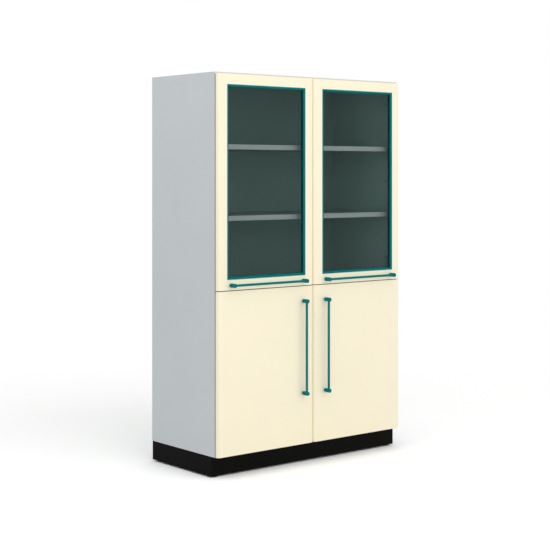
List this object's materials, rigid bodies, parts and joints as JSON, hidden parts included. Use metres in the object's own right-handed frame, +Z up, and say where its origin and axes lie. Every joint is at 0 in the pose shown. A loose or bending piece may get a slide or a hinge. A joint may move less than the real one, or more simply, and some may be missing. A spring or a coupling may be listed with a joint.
{
  "type": "laboratory storage cabinet",
  "caption": "Tall free-standing laboratory cabinet: glazed doors over solid doors, bar handles, concealed hinges, shelves on pins and a plinth on levelling feet.",
  "frame": {"origin": "on the floor under the middle of the whole object", "axes": "+Z up, +X to the right seen from the front, the doors face -Y"},
  "size_m": [1.2, 0.5724, 1.9],
  "materials": {
    "carcass_board": "grey melamine-faced chipboard",
    "shelf_board": "grey melamine-faced chipboard",
    "back_board": "grey coated fibreboard",
    "door_board": "cream postformed laminate",
    "plinth_board": "black melamine-faced chipboard",
    "foot_block": "bare beech",
    "glazing_trim": "teal satin",
    "handle": "teal satin coat",
    "glass": "grey-green tint, polished",
    "glazing_bead": "dark teal satin",
    "hinge_coat": "grey epoxy coat",
    "hinge_steel": "nickel-plated",
    "fitting_steel": "zinc-plated",
    "buffer": "clear soft",
    "catch_housing": "white moulded",
    "foot_pad": "black moulded"
  },
  "bodies": {
    "carcass": {"side_panel_left": "carcass_board", "side_panel_right": "carcass_board", "top_panel": "carcass_board", "bottom_panel": "carcass_board", "middle_panel": "carcass_board", "back_panel": "back_board", "upper_shelf_high": "shelf_board", "upper_shelf_low": "shelf_board", "lower_shelf": "shelf_board", "shelf_pins": "fitting_steel", "cam_fittings": "fitting_steel", "cam_bolts": "fitting_steel", "plinth_front": "plinth_board", "plinth_back": "plinth_board", "plinth_left": "plinth_board", "plinth_right": "plinth_board", "foot_blocks": "foot_block", "hinge_arms": "hinge_coat", "hinge_plates": "hinge_coat", "door_buffers": "buffer", "magnet_catches": "catch_housing"},
    "upper_left_door": {"upper_left_door_frame": "door_board", "upper_left_glazing_trim": "glazing_trim", "upper_left_glass": "glass", "upper_left_glazing_bead": "glazing_bead", "upper_left_handle_bar": "handle", "upper_left_handle_posts": "handle", "upper_left_hinge_cups": "hinge_coat", "upper_left_hinge_pins": "hinge_steel", "upper_left_catch_plate": "fitting_steel"},
    "upper_right_door": {"upper_right_door_frame": "door_board", "upper_right_glazing_trim": "glazing_trim", "upper_right_glass": "glass", "upper_right_glazing_bead": "glazing_bead", "upper_right_handle_bar": "handle", "upper_right_handle_posts": "handle", "upper_right_hinge_cups": "hinge_coat", "upper_right_hinge_pins": "hinge_steel", "upper_right_catch_plate": "fitting_steel"},
    "lower_left_door": {"lower_left_door_board": "door_board", "lower_left_handle_bar": "handle", "lower_left_handle_posts": "handle", "lower_left_hinge_cups": "hinge_coat", "lower_left_hinge_pins": "hinge_steel", "lower_left_catch_plate": "fitting_steel"},
    "lower_right_door": {"lower_right_door_board": "door_board", "lower_right_handle_bar": "handle", "lower_right_handle_posts": "handle", "lower_right_hinge_cups": "hinge_coat", "lower_right_hinge_pins": "hinge_steel", "lower_right_catch_plate": "fitting_steel"},
    "foot_front_left": {"foot_front_left_pad": "foot_pad", "foot_front_left_stem": "fitting_steel"},
    "foot_front_right": {"foot_front_right_pad": "foot_pad", "foot_front_right_stem": "fitting_steel"},
    "foot_back_left": {"foot_back_left_pad": "foot_pad", "foot_back_left_stem": "fitting_steel"},
    "foot_back_right": {"foot_back_right_pad": "foot_pad", "foot_back_right_stem": "fitting_steel"}
  },
  "joints": [
    {"name": "upper_left_door_swing", "type": "hinge", "parent": "carcass", "child": "upper_left_door", "pos_m": [-0.59088, -0.23225, 1.38425], "axis": [0, 0, -1], "range_deg": [0, 105]},
    {"name": "upper_right_door_swing", "type": "hinge", "parent": "carcass", "child": "upper_right_door", "pos_m": [0.59088, -0.23225, 1.38425], "axis": [0, 0, 1], "range_deg": [0, 105]},
    {"name": "lower_left_door_swing", "type": "hinge", "parent": "carcass", "child": "lower_left_door", "pos_m": [-0.59088, -0.23225, 0.48675], "axis": [0, 0, -1], "range_deg": [0, 105]},
    {"name": "lower_right_door_swing", "type": "hinge", "parent": "carcass", "child": "lower_right_door", "pos_m": [0.59088, -0.23225, 0.48675], "axis": [0, 0, 1], "range_deg": [0, 105]},
    {"name": "foot_front_left_height", "type": "slide", "parent": "carcass", "child": "foot_front_left", "axis": [0, 0, -1], "range_m": [0, 0.015]},
    {"name": "foot_front_right_height", "type": "slide", "parent": "carcass", "child": "foot_front_right", "axis": [0, 0, -1], "range_m": [0, 0.015]},
    {"name": "foot_back_left_height", "type": "slide", "parent": "carcass", "child": "foot_back_left", "axis": [0, 0, -1], "range_m": [0, 0.015]},
    {"name": "foot_back_right_height", "type": "slide", "parent": "carcass", "child": "foot_back_right", "axis": [0, 0, -1], "range_m": [0, 0.015]}
  ]
}
